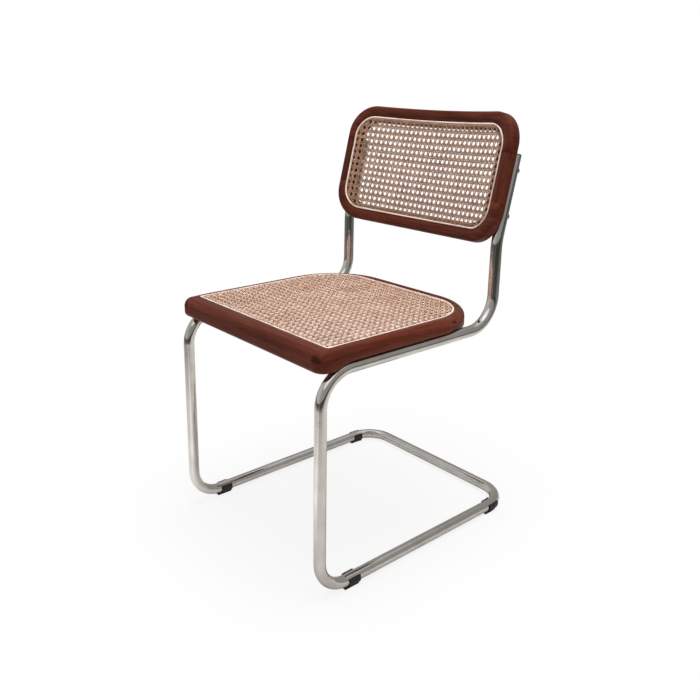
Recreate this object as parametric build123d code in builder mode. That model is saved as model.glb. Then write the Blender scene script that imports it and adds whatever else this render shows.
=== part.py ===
from build123d import *
import os
from math import atan2, cos, degrees, hypot, pi, radians, sin, sqrt, tan

# Cantilever dining chair: one bent steel tube carries a caned seat frame and a caned, hollowed back frame.
# +Z is up, the sitter faces -Y, +X is the sitter's left, and the floor is at Z 0.

os.makedirs("parts", exist_ok=True)

# Steel tube frame
tube_od = 22.0
tube_wall = 2.0
floor_depth = 542.0
rail_height = 429.0
rail_length = 432.3
rail_drop = 4.0
leg_setback = 8.0
kink_rise = 168.3
kink_setback = 3.9
back_lean = 15.0
upper_run = 169.0
foot_bend = 60.0
floor_bend = 60.0
knee_bend = 64.0
hip_bend = 64.0
kink_bend = 150.0

# Fits between pieces
rest_gap = 0.2
slip_gap = 0.1
screw_gap = 0.2
access_gap = 1.0

# Foot glides
glide_pad = 3.0
glide_wall = 2.6
glide_length = 25.0
glide_pad_width = 15.0
glide_nose = 8.0
glide_mouth = 112.0
glide_from_foot_bend = 0.5
glide_on_floor_bend = 18.0

# Tube end plugs
plug_cap = 2.0
plug_length = 14.0
plug_bevel = 1.2

# Seat frame
seat_width = 464.0
seat_overhang = 1.5
seat_depth = 439.0
seat_thickness = 27.5
seat_nose = 17.0
seat_front_corner = 18.0
seat_rear_corner = 136.0
seat_top_round = 12.0
seat_bottom_round = 9.0
seat_side_margin = 22.0
seat_front_margin = 39.0
seat_rear_margin = 28.5
seat_cane_front_corner = 6.0
seat_cane_rear_corner = 98.0
seat_front_joint = 27.0
seat_rear_joint = 103.0
seat_tenon_length = 11.0
seat_tenon_width = 36.0
seat_rear_fingers = 7
seat_finger_length = 11.0

# Back frame
back_overhang = 3.0
back_height = 251.7
back_below_kink = 7.6
back_thickness = 25.0
back_radius = 891.0
back_corner = 64.0
back_front_round = 11.0
back_rear_round = 10.0
back_opening_round = 8.0
back_margin = 20.9
back_cane_corner = 48.0
back_joint = 78.0
back_fingers = 5
back_finger_length = 12.0

# Cane panels, and the splines that hold them in their grooves
cane_thickness = 1.2
cane_tuck = 6.0
spline_width = 4.2
spline_proud = 0.9
spline_bevel = 1.0
groove_depth = 8.0
lip_width = 7.0
mesh_pitch = 26.0
mesh_hole = 13.0

# Bolts and their insert nuts
bolt_shank = 6.0
bolt_head = 11.0
bolt_head_height = 3.4
bolt_head_bevel = 1.4
bolt_socket = 4.0
bolt_socket_depth = 2.2
bolt_bite = 15.0
nut_od = 10.0
nut_length = 13.0
seat_bolt_front = 96.0
seat_bolt_rear = 290.0
back_bolt_low = 51.5
back_bolt_high = 140.5

# Places that follow from the sizes above
tube_r = tube_od / 2
tube_x = seat_width / 2 - seat_overhang - tube_r
back_width = 2 * (tube_x + tube_r + back_overhang)
floor_z = glide_pad + tube_r
foot_turn = pi / 2 + atan2(leg_setback, rail_height - floor_z)
foot_y = tube_r - floor_depth / 2 - foot_bend * (tan(foot_turn / 2) - 1)
rear_y = floor_depth / 2 - tube_r
knee_y = foot_y + leg_setback
hip_y = knee_y + rail_length
hip_z = rail_height - rail_drop
kink_y = hip_y + kink_setback
kink_z = hip_z + kink_rise
lean_sin = sin(radians(back_lean))
lean_cos = cos(radians(back_lean))
rail_run = hypot(rail_length, rail_drop)
rail_sin = rail_drop / rail_run
rail_cos = rail_length / rail_run
seat_bolt_face = sqrt((tube_r - tube_wall) ** 2 - (bolt_head / 2) ** 2) - slip_gap
groove_width = cane_thickness + spline_width + 2 * slip_gap
seat_tenon_thickness = seat_thickness / 3
finger_seat_rear = seat_thickness / seat_rear_fingers
finger_back = back_thickness / back_fingers

# The rail plane follows the tube's seat rails, and the seat plane is the underside of the wood on them.
rail_plane = Plane(origin=(0, knee_y, rail_height), x_dir=(1, 0, 0), z_dir=(0, rail_sin, rail_cos))
seat_plane = rail_plane.offset(tube_r + rest_gap)
seat_top = seat_plane.offset(seat_thickness)

# The back plane holds the axes of the leaning uprights. Its X is the chair's, its Y runs up the lean.
back_plane = Plane(origin=(0, kink_y, kink_z), x_dir=(1, 0, 0), z_dir=(0, -lean_cos, lean_sin))
back_rear_r = back_radius + back_thickness
back_axis_n = sqrt((back_rear_r + tube_r + rest_gap) ** 2 - tube_x**2)
back_low = -back_below_kink
back_high = back_low + back_height
back_reach = back_axis_n - back_radius
plan_plane = Plane(origin=back_plane.origin, x_dir=(1, 0, 0), z_dir=(0, lean_sin, lean_cos))
press_plane = back_plane.offset(back_reach - 2 * back_thickness)
press_depth = 4 * back_thickness + back_width / 4


def seat_line(inset):
    """The seat's cane outline, moved inwards by inset: square at the front, round at the rear corners."""
    width = seat_width - 2 * (seat_side_margin + inset)
    front = seat_front_margin + inset - seat_nose
    rear = seat_depth - seat_nose - seat_rear_margin - inset
    with Locations((0, (front + rear) / 2)):
        Rectangle(width, rear - front)
    fillet(vertices().group_by(Axis.Y)[-1], seat_cane_rear_corner - inset)
    fillet(vertices().group_by(Axis.Y)[0], seat_cane_front_corner)


def back_line(inset):
    """The back's cane outline seen along the back plane, moved inwards by inset."""
    margin = back_margin + inset
    with Locations((0, (back_low + back_high) / 2)):
        RectangleRounded(back_width - 2 * margin, back_height - 2 * margin, back_cane_corner - inset)


def bow_section(depth_from, depth_to):
    """Ring about the back's bending axis, between two depths behind the front face."""
    with Locations((0, -back_axis_n)):
        Circle(back_radius + depth_to)
        Circle(back_radius + depth_from, mode=Mode.SUBTRACT)


def mesh_places(half_width, low, high, corner_low, corner_high):
    """Centres of a square mesh whose holes stay inside a rounded outline."""
    columns = int((2 * half_width - mesh_hole) // mesh_pitch)
    rows = int((high - low - mesh_hole) // mesh_pitch)
    places = []
    for row in range(rows + 1):
        for column in range(columns + 1):
            across = (column - columns / 2) * mesh_pitch
            along = (low + high) / 2 + (row - rows / 2) * mesh_pitch
            corner = corner_high if along > (low + high) / 2 else corner_low
            past_side = abs(across) + mesh_hole - (half_width - corner)
            past_end = max(along + mesh_hole - (high - corner), low + corner - along + mesh_hole)
            if min(past_side, past_end) <= 0 or hypot(past_side, past_end) < corner:
                places.append((across, along))
    return places


# Tube frame: one length of hollow tube, bent ten times, from the top of one upright to the other.
left_points = [
    (tube_x, kink_y + upper_run * lean_sin, kink_z + upper_run * lean_cos),
    (tube_x, kink_y, kink_z),
    (tube_x, hip_y, hip_z),
    (tube_x, knee_y, rail_height),
    (tube_x, foot_y, floor_z),
    (tube_x, rear_y, floor_z),
]
right_points = [(-x, y, z) for x, y, z in reversed(left_points)]
left_bends = [kink_bend, hip_bend, knee_bend, foot_bend, floor_bend]

# Each bolt has a plane on the tube's axis, facing the way its head faces: down, or out behind the back.
seat_bolt_planes = []
back_bolt_planes = []
for side in (-1, 1):
    for run in (seat_bolt_front, seat_bolt_rear):
        bolt_origin = rail_plane.from_local_coords(Vector(side * tube_x, run, 0))
        seat_bolt_planes.append(Plane(origin=bolt_origin, x_dir=(1, 0, 0), z_dir=-rail_plane.z_dir))
    for run in (back_bolt_low, back_bolt_high):
        bolt_origin = back_plane.from_local_coords(Vector(side * tube_x, run, 0))
        bolt_out = Vector(tube_x * side, back_axis_n * lean_cos, -back_axis_n * lean_sin)
        back_bolt_planes.append(Plane(origin=bolt_origin, x_dir=(0, lean_sin, lean_cos), z_dir=bolt_out))

with BuildPart() as tube_frame:
    with BuildLine() as tube_path:
        FilletPolyline(*left_points, *right_points, radius=left_bends + left_bends[::-1])
    with BuildSketch(Plane(origin=tube_path.line @ 0, z_dir=tube_path.line % 0)):
        Circle(tube_r)
        Circle(tube_r - tube_wall, mode=Mode.SUBTRACT)
    sweep()
    for plane in seat_bolt_planes + back_bolt_planes:
        with BuildSketch(plane.offset(-tube_od)):
            Circle(bolt_shank / 2 + screw_gap)
        extrude(amount=2 * tube_od, mode=Mode.SUBTRACT)
    for plane in seat_bolt_planes:
        with BuildSketch(plane):
            Circle(bolt_head / 2 + access_gap)
        extrude(amount=tube_od, mode=Mode.SUBTRACT)
tube_frame.part.label = "tube_frame"
export_step(tube_frame.part, "parts/tube_frame.step")

# Foot glides: black clips sprung over the floor runs, each with a flat pad that stands on the floor.
# The rear pair reach onto the floor bends, so their section is turned about the bend's axis there.
front_bend_end = foot_y + foot_bend * tan(foot_turn / 2)
floor_bend_start = rear_y - floor_bend
glide_front_end = front_bend_end + glide_from_foot_bend + glide_length
glide_bore = tube_r + slip_gap
glide_r = glide_bore + glide_wall
mouth_x = glide_r * tan(radians(glide_mouth / 2))
glide_bend_turn = degrees(glide_on_floor_bend / floor_bend)

for name, side, end_y, straight, turn in (
    ("glide_front_left", 1, glide_front_end, glide_length, 0),
    ("glide_front_right", -1, glide_front_end, glide_length, 0),
    ("glide_rear_left", 1, floor_bend_start, glide_length - glide_on_floor_bend, glide_bend_turn),
    ("glide_rear_right", -1, floor_bend_start, glide_length - glide_on_floor_bend, -glide_bend_turn),
):
    end_plane = Plane(origin=(side * tube_x, end_y, floor_z), x_dir=(1, 0, 0), z_dir=(0, 1, 0))
    bend_axis = Axis((side * (tube_x - floor_bend), end_y, 0), (0, 0, 1))
    with BuildSketch(end_plane) as clip_section:
        Circle(glide_r)
        with Locations((0, floor_z / 2)):
            Rectangle(glide_pad_width, floor_z)
        with BuildSketch(mode=Mode.INTERSECT):
            with Locations((0, floor_z - glide_r)):
                Rectangle(2 * glide_r, 2 * glide_r)
        Circle(glide_bore, mode=Mode.SUBTRACT)
        with BuildLine():
            Polyline((0, 0), (mouth_x, -glide_r), (-mouth_x, -glide_r), close=True)
        make_face(mode=Mode.SUBTRACT)
    with BuildPart() as glide:
        extrude(clip_section.sketch, amount=-straight)
        if turn:
            revolve(clip_section.sketch, axis=bend_axis, revolution_arc=turn)
        with BuildSketch(end_plane.offset(-straight)):
            with Locations((0, floor_z / 2)):
                Rectangle(glide_pad_width, floor_z)
            Circle(glide_bore, mode=Mode.SUBTRACT)
        extrude(amount=-glide_nose)
    glide.part.label = name
    export_step(glide.part, f"parts/{name}.step")

# End plugs: a flat cap on each cut end of the tube, with a stem inside it.
for name, end in (("tube_plug_left", left_points[0]), ("tube_plug_right", right_points[-1])):
    with BuildPart() as plug:
        with BuildSketch(Plane(origin=end, x_dir=(1, 0, 0), z_dir=(0, lean_sin, lean_cos))):
            Circle(tube_r)
        extrude(amount=plug_cap)
        chamfer(plug.edges().group_by(Axis.Z)[-1], plug_bevel)
        with BuildSketch(Plane(origin=end, x_dir=(1, 0, 0), z_dir=(0, lean_sin, lean_cos))):
            Circle(tube_r - tube_wall - slip_gap)
        extrude(amount=-plug_length)
    plug.part.label = name
    export_step(plug.part, f"parts/{name}.step")

# Seat frame: a flat ring of wood with rounded edges, cut into four rails. The front rail's tenons are blind
# in the side rails, and the rear rail is combed into them.
with BuildPart() as seat_ring:
    with BuildSketch(seat_plane):
        with Locations((0, seat_depth / 2 - seat_nose)):
            Rectangle(seat_width, seat_depth)
        fillet(vertices().group_by(Axis.Y)[-1], seat_rear_corner)
        fillet(vertices().group_by(Axis.Y)[0], seat_front_corner)
    extrude(amount=seat_thickness)
    fillet(seat_ring.faces().sort_by(Axis.Z)[-1].edges(), seat_top_round)
    fillet(seat_ring.faces().sort_by(Axis.Z)[0].edges(), seat_bottom_round)
    with BuildSketch(seat_top):
        seat_line(groove_width)
    extrude(amount=-cane_thickness, mode=Mode.SUBTRACT)
    with BuildSketch(seat_top):
        seat_line(groove_width + lip_width)
    extrude(amount=-seat_thickness, mode=Mode.SUBTRACT)
    with BuildSketch(seat_top):
        seat_line(0)
        with BuildSketch(mode=Mode.SUBTRACT):
            seat_line(groove_width)
    extrude(amount=-groove_depth, mode=Mode.SUBTRACT)
    for plane in seat_bolt_planes:
        with BuildSketch(plane.offset(-tube_r)):
            Circle(nut_od / 2 + slip_gap)
        extrude(amount=-rest_gap - bolt_bite - screw_gap, mode=Mode.SUBTRACT)

front_joint_x = seat_width / 2 - seat_front_joint
front_inner_t = seat_front_margin + groove_width + lip_width - seat_nose
rear_joint_t = seat_depth - seat_nose - seat_rear_joint

with BuildPart() as front_claim:
    with BuildSketch(seat_plane):
        with Locations((0, front_inner_t - seat_depth / 2)):
            Rectangle(2 * front_joint_x, seat_depth)
    extrude(amount=seat_thickness)
    with BuildSketch(seat_plane.offset(seat_tenon_thickness)):
        with Locations((0, front_inner_t - seat_tenon_width / 2)):
            Rectangle(2 * (front_joint_x + seat_tenon_length), seat_tenon_width)
    extrude(amount=seat_tenon_thickness)

with BuildPart() as rear_claim:
    for layer in range(seat_rear_fingers):
        start = rear_joint_t - (seat_finger_length if layer % 2 else 0)
        with BuildSketch(seat_plane.offset(layer * finger_seat_rear)):
            with Locations((0, start + seat_depth / 2)):
                Rectangle(2 * seat_width, seat_depth)
        extrude(amount=finger_seat_rear)

with BuildPart() as seat_front_rail:
    add(seat_ring.part)
    add(front_claim.part, mode=Mode.INTERSECT)
seat_front_rail.part.label = "seat_front_rail"
export_step(seat_front_rail.part, "parts/seat_front_rail.step")

with BuildPart() as seat_rear_rail:
    add(seat_ring.part)
    add(rear_claim.part, mode=Mode.INTERSECT)
seat_rear_rail.part.label = "seat_rear_rail"
export_step(seat_rear_rail.part, "parts/seat_rear_rail.step")

with BuildPart() as seat_left_rail:
    add(seat_ring.part)
    add(front_claim.part, mode=Mode.SUBTRACT)
    add(rear_claim.part, mode=Mode.SUBTRACT)
    split(bisect_by=Plane.YZ, keep=Keep.TOP)
seat_left_rail.part.label = "seat_left_rail"
export_step(seat_left_rail.part, "parts/seat_left_rail.step")

with BuildPart() as seat_right_rail:
    mirror(seat_left_rail.part, about=Plane.YZ)
seat_right_rail.part.label = "seat_right_rail"
export_step(seat_right_rail.part, "parts/seat_right_rail.step")

# Seat cane: a flat net on the lip of the frame, its edge tucked down the inner wall of the groove.
seat_lip = groove_width + lip_width
seat_mesh = mesh_places(
    seat_width / 2 - seat_side_margin - seat_lip,
    front_inner_t,
    seat_depth - seat_nose - seat_rear_margin - seat_lip,
    seat_cane_front_corner,
    seat_cane_rear_corner - seat_lip,
)
with BuildPart() as seat_cane:
    with BuildSketch(seat_top):
        seat_line(spline_width + slip_gap)
        with Locations(*seat_mesh):
            Rectangle(mesh_hole, mesh_hole, mode=Mode.SUBTRACT)
    extrude(amount=-cane_thickness)
    with BuildSketch(seat_top):
        seat_line(spline_width + slip_gap)
        with BuildSketch(mode=Mode.SUBTRACT):
            seat_line(groove_width - slip_gap)
    extrude(amount=-cane_tuck)
seat_cane.part.label = "seat_cane"
export_step(seat_cane.part, "parts/seat_cane.step")

# Seat spline: a split reed pressed into the groove over the cane, standing a little proud.
with BuildPart() as seat_spline:
    with BuildSketch(seat_top.offset(spline_proud)):
        seat_line(slip_gap)
        with BuildSketch(mode=Mode.SUBTRACT):
            seat_line(spline_width)
    extrude(amount=-cane_tuck - spline_proud)
    chamfer(seat_spline.faces().sort_by(Axis.Z)[-1].edges(), spline_bevel)
seat_spline.part.label = "seat_spline"
export_step(seat_spline.part, "parts/seat_spline.step")

# Back frame: a ring of wood bowed round the sitter, with full round edges, sawn into four at its comb joints.
with BuildPart() as back_ring:
    with BuildSketch(press_plane):
        with Locations((0, (back_low + back_high) / 2)):
            RectangleRounded(back_width, back_height, back_corner)
    extrude(amount=press_depth)
    with BuildSketch(plan_plane.offset(back_low)):
        bow_section(0, back_thickness)
    extrude(amount=back_height, mode=Mode.INTERSECT)
    back_faces = back_ring.faces().sort_by(SortBy.AREA)[-2:].sort_by(Axis.Y)
    fillet(back_faces[0].edges(), back_front_round)
    back_faces = back_ring.faces().sort_by(SortBy.AREA)[-2:].sort_by(Axis.Y)
    fillet(back_faces[-1].edges(), back_rear_round)
    with BuildSketch(press_plane):
        back_line(groove_width + lip_width)
    extrude(amount=press_depth, mode=Mode.SUBTRACT)
    back_faces = back_ring.faces().sort_by(SortBy.AREA)[-2:].sort_by(Axis.Y)
    fillet(back_faces[-1].inner_wires()[0].edges(), back_opening_round)

# Pieces of the groove and its lip are cut to an even depth behind the bowed front face.
with BuildPart() as back_groove:
    with BuildSketch(press_plane):
        back_line(0)
        with BuildSketch(mode=Mode.SUBTRACT):
            back_line(groove_width)
    extrude(amount=press_depth)
    with BuildSketch(plan_plane.offset(back_low)):
        bow_section(-back_thickness, groove_depth)
    extrude(amount=back_height, mode=Mode.INTERSECT)

with BuildPart() as back_recess:
    with BuildSketch(press_plane):
        back_line(groove_width)
    extrude(amount=press_depth)
    with BuildSketch(plan_plane.offset(back_low)):
        bow_section(-back_thickness, cane_thickness)
    extrude(amount=back_height, mode=Mode.INTERSECT)

with BuildPart() as back_frame:
    add(back_ring.part)
    add(back_groove.part, mode=Mode.SUBTRACT)
    add(back_recess.part, mode=Mode.SUBTRACT)
    for plane in back_bolt_planes:
        with BuildSketch(plane.offset(-tube_r)):
            Circle(nut_od / 2 + slip_gap)
        extrude(amount=-rest_gap - bolt_bite - screw_gap, mode=Mode.SUBTRACT)

with BuildPart() as top_claim:
    for layer in range(back_fingers):
        start = back_high - back_joint - (back_finger_length if layer % 2 else 0)
        with BuildSketch(plan_plane.offset(start)):
            bow_section(layer * finger_back, (layer + 1) * finger_back)
        extrude(amount=back_height)

with BuildPart() as bottom_claim:
    for layer in range(back_fingers):
        end = back_low + back_joint + (back_finger_length if layer % 2 else 0)
        with BuildSketch(plan_plane.offset(end)):
            bow_section(layer * finger_back, (layer + 1) * finger_back)
        extrude(amount=-back_height)

with BuildPart() as back_top_rail:
    add(back_frame.part)
    add(top_claim.part, mode=Mode.INTERSECT)
back_top_rail.part.label = "back_top_rail"
export_step(back_top_rail.part, "parts/back_top_rail.step")

with BuildPart() as back_bottom_rail:
    add(back_frame.part)
    add(bottom_claim.part, mode=Mode.INTERSECT)
back_bottom_rail.part.label = "back_bottom_rail"
export_step(back_bottom_rail.part, "parts/back_bottom_rail.step")

with BuildPart() as back_left_stile:
    add(back_frame.part)
    add(top_claim.part, mode=Mode.SUBTRACT)
    add(bottom_claim.part, mode=Mode.SUBTRACT)
    split(bisect_by=Plane.YZ, keep=Keep.TOP)
back_left_stile.part.label = "back_left_stile"
export_step(back_left_stile.part, "parts/back_left_stile.step")

with BuildPart() as back_right_stile:
    mirror(back_left_stile.part, about=Plane.YZ)
back_right_stile.part.label = "back_right_stile"
export_step(back_right_stile.part, "parts/back_right_stile.step")

# Back cane: the same net, bowed with the frame.
back_lip = groove_width + lip_width
back_mesh = mesh_places(
    back_width / 2 - back_margin - back_lip,
    back_low + back_margin + back_lip,
    back_high - back_margin - back_lip,
    back_cane_corner - back_lip,
    back_cane_corner - back_lip,
)
with BuildPart() as back_tuck:
    with BuildSketch(press_plane):
        back_line(spline_width + slip_gap)
        with BuildSketch(mode=Mode.SUBTRACT):
            back_line(groove_width - slip_gap)
    extrude(amount=press_depth)
    with BuildSketch(plan_plane.offset(back_low)):
        bow_section(0, cane_tuck)
    extrude(amount=back_height, mode=Mode.INTERSECT)

with BuildPart() as back_cane:
    with BuildSketch(press_plane):
        back_line(spline_width + slip_gap)
        with Locations(*back_mesh):
            Rectangle(mesh_hole, mesh_hole, mode=Mode.SUBTRACT)
    extrude(amount=press_depth)
    with BuildSketch(plan_plane.offset(back_low)):
        bow_section(0, cane_thickness)
    extrude(amount=back_height, mode=Mode.INTERSECT)
    add(back_tuck.part)
back_cane.part.label = "back_cane"
export_step(back_cane.part, "parts/back_cane.step")

# Back spline
with BuildPart() as back_spline:
    with BuildSketch(press_plane):
        back_line(slip_gap)
        with BuildSketch(mode=Mode.SUBTRACT):
            back_line(spline_width)
    extrude(amount=press_depth)
    with BuildSketch(plan_plane.offset(back_low)):
        bow_section(-spline_proud, cane_tuck)
    extrude(amount=back_height, mode=Mode.INTERSECT)
back_spline.part.label = "back_spline"
export_step(back_spline.part, "parts/back_spline.step")

# Seat bolts: put in through holes in the underside of the tube, so that their heads bear on its upper wall
# from inside. Each shank goes on into an insert nut in the wood.
with BuildPart() as seat_bolts:
    for plane in seat_bolt_planes:
        with BuildSketch(plane.offset(-tube_r - rest_gap - bolt_bite)):
            Circle(bolt_shank / 2)
        extrude(amount=tube_r + rest_gap + bolt_bite - seat_bolt_face)
        with BuildSketch(plane.offset(-seat_bolt_face)):
            Circle(bolt_head / 2)
        extrude(amount=bolt_head_height)
        chamfer(edges(Select.LAST).sort_by(Axis(plane.origin, plane.z_dir))[-1], bolt_head_bevel)
        with BuildSketch(plane.offset(-seat_bolt_face + bolt_head_height)):
            RegularPolygon(bolt_socket / 2, 6)
        extrude(amount=-bolt_socket_depth, mode=Mode.SUBTRACT)
seat_bolts.part.label = "seat_bolts"
export_step(seat_bolts.part, "parts/seat_bolts.step")

# Back bolts: domed socket heads behind the tube, and shanks through it into insert nuts in the wood.
with BuildPart() as back_bolts:
    for plane in back_bolt_planes:
        with BuildSketch(plane.offset(-tube_r - rest_gap - bolt_bite)):
            Circle(bolt_shank / 2)
        extrude(amount=tube_od + rest_gap + bolt_bite)
        with BuildSketch(plane.offset(tube_r)):
            Circle(bolt_head / 2)
        extrude(amount=bolt_head_height)
        chamfer(edges(Select.LAST).sort_by(Axis(plane.origin, plane.z_dir))[-1], bolt_head_bevel)
        with BuildSketch(plane.offset(tube_r + bolt_head_height)):
            RegularPolygon(bolt_socket / 2, 6)
        extrude(amount=-bolt_socket_depth, mode=Mode.SUBTRACT)
back_bolts.part.label = "back_bolts"
export_step(back_bolts.part, "parts/back_bolts.step")

# Insert nuts: steel sleeves let into the wood from the side that meets the tube.
with BuildPart() as seat_insert_nuts:
    for plane in seat_bolt_planes:
        with BuildSketch(plane.offset(-tube_r - rest_gap)):
            Circle(nut_od / 2)
            Circle(bolt_shank / 2 + slip_gap, mode=Mode.SUBTRACT)
        extrude(amount=-nut_length)
seat_insert_nuts.part.label = "seat_insert_nuts"
export_step(seat_insert_nuts.part, "parts/seat_insert_nuts.step")

with BuildPart() as back_insert_nuts:
    for plane in back_bolt_planes:
        with BuildSketch(plane.offset(-tube_r - rest_gap)):
            Circle(nut_od / 2)
            Circle(bolt_shank / 2 + slip_gap, mode=Mode.SUBTRACT)
        extrude(amount=-nut_length)
back_insert_nuts.part.label = "back_insert_nuts"
export_step(back_insert_nuts.part, "parts/back_insert_nuts.step")
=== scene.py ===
import bpy
import bmesh
import numpy as np
from math import atan2, cos, hypot, pi, radians, sin, tan
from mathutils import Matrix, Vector


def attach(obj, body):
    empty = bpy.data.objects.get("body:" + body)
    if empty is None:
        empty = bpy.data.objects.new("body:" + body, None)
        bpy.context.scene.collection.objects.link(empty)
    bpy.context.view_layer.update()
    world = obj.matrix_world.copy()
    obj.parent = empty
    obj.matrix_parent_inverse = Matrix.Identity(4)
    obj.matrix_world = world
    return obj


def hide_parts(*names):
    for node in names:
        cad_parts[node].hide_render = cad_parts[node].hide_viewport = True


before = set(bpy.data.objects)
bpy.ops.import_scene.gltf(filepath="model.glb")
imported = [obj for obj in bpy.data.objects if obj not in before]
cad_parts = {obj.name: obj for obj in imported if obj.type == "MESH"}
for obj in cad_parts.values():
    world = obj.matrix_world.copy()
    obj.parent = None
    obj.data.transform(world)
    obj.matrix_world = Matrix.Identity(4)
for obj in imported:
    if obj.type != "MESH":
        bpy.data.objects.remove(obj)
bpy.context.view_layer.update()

# The tube frame is one length of bright chromed steel tube, 22 mm across, bent ten times by a draw bender.
# It runs from the top of one upright, under the seat, down the leg, round the floor loop and back up again.
# Four holes below the seat rails let in the bolts that hold the seat.
tube_radius, tube_wall = 0.011, 0.002
tube_x = 0.2195
rail_front = (-0.2531678, 0.429)
rail_rear = (0.1791322, 0.425)
kink = (0.1830322, 0.5933)
lean = radians(15.0)
upright_length = 0.169
upright_top = (kink[0] + upright_length * sin(lean), kink[1] + upright_length * cos(lean))
foot = (-0.2611678, 0.014)
floor_rear = (0.26, 0.014)
side_corners = [upright_top, kink, rail_rear, rail_front, foot, floor_rear]
side_bends = [0.150, 0.064, 0.064, 0.060, 0.060]
bend_steps, tube_sides = 22, 48
access_radius, access_depth, drill_sides = 0.0065, 0.016, 32
seat_bolt_runs = [0.096, 0.290]
rail_slope = atan2(rail_front[1] - rail_rear[1], rail_rear[0] - rail_front[0])


def bent_path(corners, bends, arc_steps):
    """Centre line of a bent tube: straight runs, joined at each corner by an arc of that bend's radius.
    Each arc turns the run's direction, and the two directions across it, about the normal of the two runs."""
    corners = np.array(corners)
    ahead = corners[1] - corners[0]
    ahead /= np.linalg.norm(ahead)
    across = np.array([1.0, 0.0, 0.0])
    centres, firsts, seconds = [corners[:1]], [across[None]], [np.cross(ahead, across)[None]]
    for corner, after, bend in zip(corners[1:-1], corners[2:], bends):
        leaving = (after - corner) / np.linalg.norm(after - corner)
        turn = np.arccos(np.clip(ahead @ leaving, -1, 1))
        axis = np.cross(ahead, leaving) / np.linalg.norm(np.cross(ahead, leaving))
        angles = np.linspace(0, turn, arc_steps)[:, None]
        start = corner - ahead * bend * tan(turn / 2)
        inward = np.cross(axis, ahead)
        centres.append(start + bend * (np.sin(angles) * ahead + (1 - np.cos(angles)) * inward))

        def turned(vector):
            """The vector turned about the arc's axis by each of the arc's angles."""
            return (vector * np.cos(angles) + np.cross(axis, vector) * np.sin(angles)
                    + axis * (axis @ vector) * (1 - np.cos(angles)))

        firsts.append(turned(firsts[-1][-1]))
        seconds.append(turned(seconds[-1][-1]))
        ahead = leaving
    centres.append(corners[-1:])
    firsts.append(firsts[-1][-1:])
    seconds.append(seconds[-1][-1:])
    return np.concatenate(centres), np.concatenate(firsts), np.concatenate(seconds)


def grid_faces(rows, columns, close_rows, close_columns):
    """Quads between the points of a grid stored row after row, with either direction closed on itself."""
    row = np.arange(rows if close_rows else rows - 1)[:, None]
    column = np.arange(columns if close_columns else columns - 1)[None, :]
    next_row, next_column = (row + 1) % rows, (column + 1) % columns
    corners = [row * columns + column, row * columns + next_column,
               next_row * columns + next_column, next_row * columns + column]
    return np.stack(corners, axis=-1).reshape(-1, 4)


def closed_mesh(name, points, faces):
    """A mesh of those points and faces, turned to face outwards."""
    mesh = bpy.data.meshes.new(name)
    mesh.from_pydata(points.reshape(-1, 3).tolist(), [], faces)
    shell = bmesh.new()
    shell.from_mesh(mesh)
    bmesh.ops.recalc_face_normals(shell, faces=shell.faces)
    shell.to_mesh(mesh)
    shell.free()
    return mesh


def add_piece(name, mesh, slot, *nodes):
    """Puts a mesh in the scene as a piece of the one rigid body, which stands for the named nodes."""
    piece = bpy.data.objects.new(name, mesh)
    bpy.context.scene.collection.objects.link(piece)
    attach(piece, "root")
    if nodes:
        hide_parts(*nodes)
    return piece


def new_piece(name, points, faces, material, slot, *nodes):
    """A smooth piece of those points and quads."""
    mesh = closed_mesh(name, points, faces.tolist())
    mesh.shade_smooth()
    mesh.materials.append(material)
    return add_piece(name, mesh, slot, *nodes)


def srgb(red, green, blue):
    """Linear colour of an 8-bit sRGB colour, by the sRGB curve."""
    value = np.array([red, green, blue]) / 255
    linear = np.where(value <= 0.04045, value / 12.92, ((value + 0.055) / 1.055) ** 2.4)
    return (*linear.tolist(), 1.0)


def new_material(name, metallic=0.0, roughness=0.5):
    """An empty material, with its node tree and its Principled shader."""
    material = bpy.data.materials.new(name)
    material.use_nodes = True
    tree = material.node_tree
    shader = tree.nodes["Principled BSDF"]
    shader.inputs["Metallic"].default_value = metallic
    shader.inputs["Roughness"].default_value = roughness
    return material, tree, shader


def add_node(tree, kind, inputs=None, **settings):
    """A node with its settings, whose inputs are either values or sockets to link from."""
    node = tree.nodes.new(kind)
    for key, value in settings.items():
        setattr(node, key, value)
    for key, value in (inputs or {}).items():
        if isinstance(value, bpy.types.NodeSocket):
            tree.links.new(value, node.inputs[key])
        else:
            node.inputs[key].default_value = value
    return node


def object_place(tree):
    """The place on the piece, in metres."""
    return add_node(tree, "ShaderNodeTexCoord").outputs["Object"]


def add_noise(tree, place, scale, detail, roughness=0.5):
    """Soft noise from 0 to 1 over a place."""
    inputs = {"Vector": place, "Scale": scale, "Detail": detail, "Roughness": roughness}
    return add_node(tree, "ShaderNodeTexNoise", inputs).outputs["Fac"]


def add_ramp(tree, factor, stops):
    """A colour ramp over the factor, through stops of position and colour."""
    ramp = add_node(tree, "ShaderNodeValToRGB", {"Fac": factor})
    elements = ramp.color_ramp.elements
    elements[0].position, elements[0].color = stops[0]
    elements[1].position, elements[1].color = stops[-1]
    for position, colour in stops[1:-1]:
        elements.new(position).color = colour
    return ramp.outputs["Color"]


def add_range(tree, value, low, high, to_low=0.0, to_high=1.0, **settings):
    """A value carried from one range to another, and held at its ends."""
    inputs = {"Value": value, "From Min": low, "From Max": high, "To Min": to_low, "To Max": to_high}
    return add_node(tree, "ShaderNodeMapRange", inputs, **settings).outputs["Result"]


def add_bump(tree, height, strength, distance, under=None):
    """The normal bent by a height, over another bent normal if there is one."""
    inputs = {"Height": height, "Strength": strength, "Distance": distance}
    if under is not None:
        inputs["Normal"] = under
    return add_node(tree, "ShaderNodeBump", inputs).outputs["Normal"]


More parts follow.
